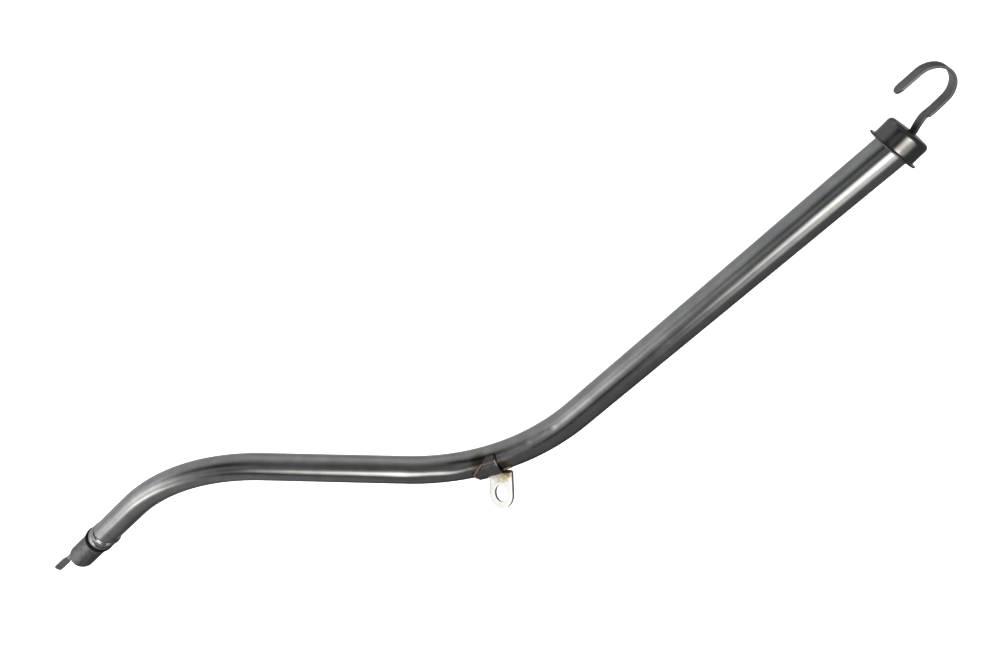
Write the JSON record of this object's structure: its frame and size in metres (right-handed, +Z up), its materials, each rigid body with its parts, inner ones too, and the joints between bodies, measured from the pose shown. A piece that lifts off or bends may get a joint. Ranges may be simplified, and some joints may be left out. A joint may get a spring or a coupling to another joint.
{
  "type": "fluid filler tube with dipstick",
  "caption": "Long bent steel filler tube with an O-ring at its lower end, a welded side bracket, and a capped dipstick with a hook handle.",
  "frame": {"origin": "centre of the bracket's bolt hole, on the outer face that the bolt head rests on", "axes": "The tube's two bends lie in a plane across Y. +X runs along the tube's middle straight towards the cap, +Z is up towards the cap, and +Y runs from the bracket's tab to the tube"},
  "size_m": [0.5788, 0.0357, 0.3873],
  "materials": {
    "tube_steel": "bright drawn steel, lightly marked",
    "bracket_steel": "bright strip steel with heat tint by the weld",
    "weld_metal": "as welded",
    "strip_steel": "rolled spring steel",
    "cap_steel": "dark plated pressed steel",
    "handle_steel": "dark plated strip, lighter cut edges",
    "rivet_steel": "plain steel",
    "rubber": "smooth nitrile rubber"
  },
  "bodies": {
    "tube": {"tube_lower_straight": "tube_steel", "tube_lower_bend": "tube_steel", "tube_middle_straight": "tube_steel", "tube_upper_bend": "tube_steel", "tube_upper_straight": "tube_steel", "sealing_ring": "rubber", "mounting_bracket": "bracket_steel", "saddle_weld": "weld_metal", "tab_weld": "weld_metal"},
    "upper_strip": {"blade_upper": "strip_steel"},
    "head": {"cap_shell": "cap_steel", "cap_seal": "rubber", "cap_washer": "rivet_steel", "hook_handle": "handle_steel", "blade_top": "strip_steel", "lap_rivet_1": "rivet_steel", "lap_rivet_2": "rivet_steel"},
    "upper_bend_strip": {"blade_upper_bend": "strip_steel"},
    "middle_strip": {"blade_middle": "strip_steel"},
    "lower_bend_strip": {"blade_lower_bend": "strip_steel"},
    "tip_strip": {"blade_tip": "strip_steel"}
  },
  "joints": [
    {"name": "dipstick_pull", "type": "slide", "parent": "tube", "child": "upper_strip", "axis": [0.6528, 0, 0.7576], "range_m": [0, 0.03]},
    {"name": "handle_swivel", "type": "hinge", "parent": "upper_strip", "child": "head", "pos_m": [0.19854, 0.0141, 0.23169], "axis": [0.6528, 0, 0.7576], "range_deg": [-40, 40]},
    {"name": "upper_bend_follow", "type": "hinge", "parent": "tube", "child": "upper_bend_strip", "pos_m": [-0.06618, 0.0141, 0.15794], "axis": [0, -1, 0], "range_deg": [0, 11.5]},
    {"name": "middle_follow", "type": "slide", "parent": "tube", "child": "middle_strip", "axis": [1, 0, 0], "range_m": [0, 0.0305]},
    {"name": "lower_bend_follow", "type": "hinge", "parent": "tube", "child": "lower_bend_strip", "pos_m": [-0.16548, 0.0141, -0.14686], "axis": [0, 1, 0], "range_deg": [0, 11.5]},
    {"name": "tip_follow", "type": "slide", "parent": "tube", "child": "tip_strip", "axis": [0.7638, 0, 0.6455], "range_m": [0, 0.0305]}
  ],
  "couplings": [
    {"joint": "upper_bend_follow", "follows": "dipstick_pull", "rad_per_m": 6.394},
    {"joint": "middle_follow", "follows": "dipstick_pull", "ratio": 1},
    {"joint": "lower_bend_follow", "follows": "dipstick_pull", "rad_per_m": 6.394},
    {"joint": "tip_follow", "follows": "dipstick_pull", "ratio": 1}
  ]
}
